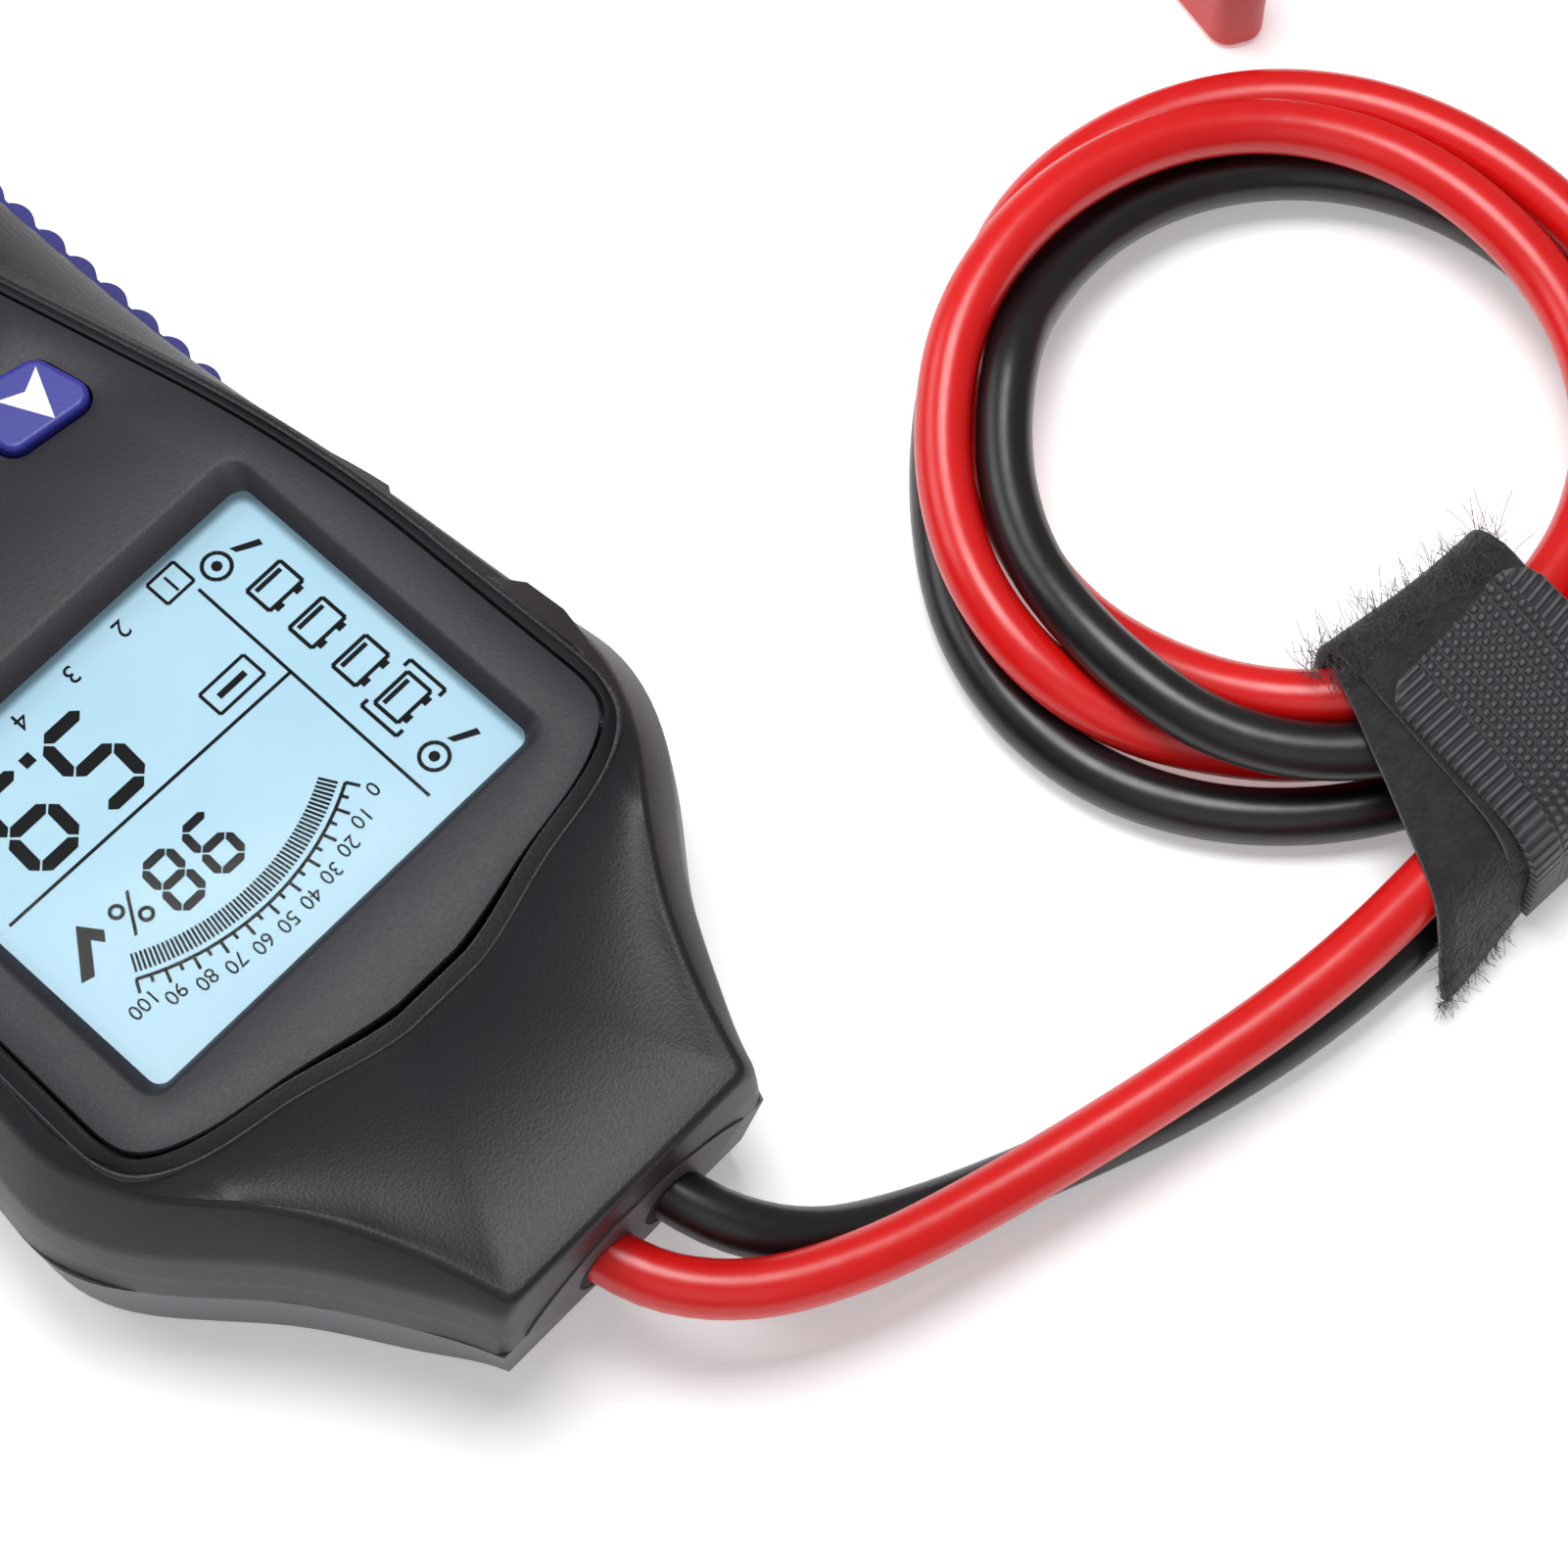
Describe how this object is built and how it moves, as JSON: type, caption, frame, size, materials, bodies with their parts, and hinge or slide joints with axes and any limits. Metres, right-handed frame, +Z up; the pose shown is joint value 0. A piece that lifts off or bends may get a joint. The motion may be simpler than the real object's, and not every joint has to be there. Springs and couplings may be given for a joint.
{
  "type": "battery tester",
  "caption": "Handheld battery tester with a tapered grip, display and keys, and red and black test leads that end in spring clamps, coiled under a strap.",
  "frame": {"origin": "under the middle of the case, on the surface it lies on", "axes": "+Z up out of the display, +Y along the case towards the leads, +X to the right as the display is read"},
  "size_m": [0.2797, 0.2231, 0.036],
  "materials": {
    "shell_plastic": "fine moulded grain, satin",
    "lower_shell_plastic": "fine moulded grain, satin",
    "panel_plastic": "fine matt texture",
    "grip_rubber": "soft-touch rubber, matt",
    "key_rubber": "satin silicone keycap",
    "display_lens": "clear acrylic, polished",
    "display_cell": "lit liquid-crystal face",
    "white_plastic": "moulded, diffuse",
    "strip_rubber": "banded contact strip",
    "board_laminate": "solder mask over glass laminate",
    "chip_plastic": "moulded epoxy",
    "ceramic": "matt ceramic",
    "fin_aluminium": "extruded, satin",
    "can_aluminium": "sleeved can",
    "steel": "zinc plated",
    "spring_steel": "bright drawn wire",
    "copper": "stamped copper, tumbled",
    "plate_plastic": "fine moulded grain",
    "red_sheath": "soft PVC sheath, satin gloss",
    "black_sheath": "soft PVC sheath, satin gloss",
    "strap_fabric": "woven hook-and-loop tape",
    "red_clamp_plastic": "moulded, satin",
    "black_clamp_plastic": "moulded, satin"
  },
  "bodies": {
    "root": {"top_shell": "shell_plastic", "bottom_shell": "lower_shell_plastic", "front_panel": "panel_plastic", "left_grip": "grip_rubber", "right_grip": "grip_rubber", "display_lens": "display_lens", "display_glass": "display_cell", "display_frame": "white_plastic", "backlight": "white_plastic", "display_strip": "strip_rubber", "main_board": "board_laminate", "controller": "chip_plastic", "measuring_amp": "chip_plastic", "clock_crystal": "steel", "load_resistors": "ceramic", "load_switch": "chip_plastic", "heat_sink": "fin_aluminium", "capacitors": "can_aluminium", "buzzer": "chip_plastic", "cord_terminals": "steel", "key_switches": "chip_plastic", "lead_plate": "plate_plastic", "lead_clamp": "chip_plastic", "case_screws": "steel", "board_screws": "steel", "clamp_screws": "steel", "red_run": "red_sheath", "red_coil": "red_sheath", "red_tail": "red_sheath", "black_run": "black_sheath", "black_coil": "black_sheath", "black_tail": "black_sheath", "coil_strap": "strap_fabric", "red_lever_fixed": "red_clamp_plastic", "red_liner_fixed": "copper", "red_pin": "steel", "red_spring": "spring_steel", "black_lever_fixed": "black_clamp_plastic", "black_liner_fixed": "copper", "black_pin": "steel", "black_spring": "spring_steel"},
    "key_up": {"key_up": "key_rubber"},
    "key_down": {"key_down": "key_rubber"},
    "key_enter": {"key_enter": "key_rubber"},
    "key_back": {"key_back": "key_rubber"},
    "red_jaw": {"red_lever_moving": "red_clamp_plastic", "red_liner_moving": "copper", "red_spring_leg": "spring_steel"},
    "black_jaw": {"black_lever_moving": "black_clamp_plastic", "black_liner_moving": "copper", "black_spring_leg": "spring_steel"}
  },
  "joints": [
    {"name": "key_up_press", "type": "slide", "parent": "root", "child": "key_up", "axis": [0, 0, -1], "range_m": [0, 0.0008], "stiffness_N_per_m": 1500},
    {"name": "key_down_press", "type": "slide", "parent": "root", "child": "key_down", "axis": [0, 0, -1], "range_m": [0, 0.0008], "stiffness_N_per_m": 1500},
    {"name": "key_enter_press", "type": "slide", "parent": "root", "child": "key_enter", "axis": [0, 0, -1], "range_m": [0, 0.0008], "stiffness_N_per_m": 1500},
    {"name": "key_back_press", "type": "slide", "parent": "root", "child": "key_back", "axis": [0, 0, -1], "range_m": [0, 0.0008], "stiffness_N_per_m": 1500},
    {"name": "red_jaw_hinge", "type": "hinge", "parent": "root", "child": "red_jaw", "pos_m": [-0.1635, -0.0081, 0.008], "axis": [0, 0, 1], "range_deg": [0, 30], "stiffness_Nm_per_rad": 0.8, "springref_deg": -20.05},
    {"name": "black_jaw_hinge", "type": "hinge", "parent": "root", "child": "black_jaw", "pos_m": [-0.2135, -0.0061, 0.008], "axis": [0, 0, -1], "range_deg": [0, 30], "stiffness_Nm_per_rad": 0.8, "springref_deg": -20.05}
  ]
}
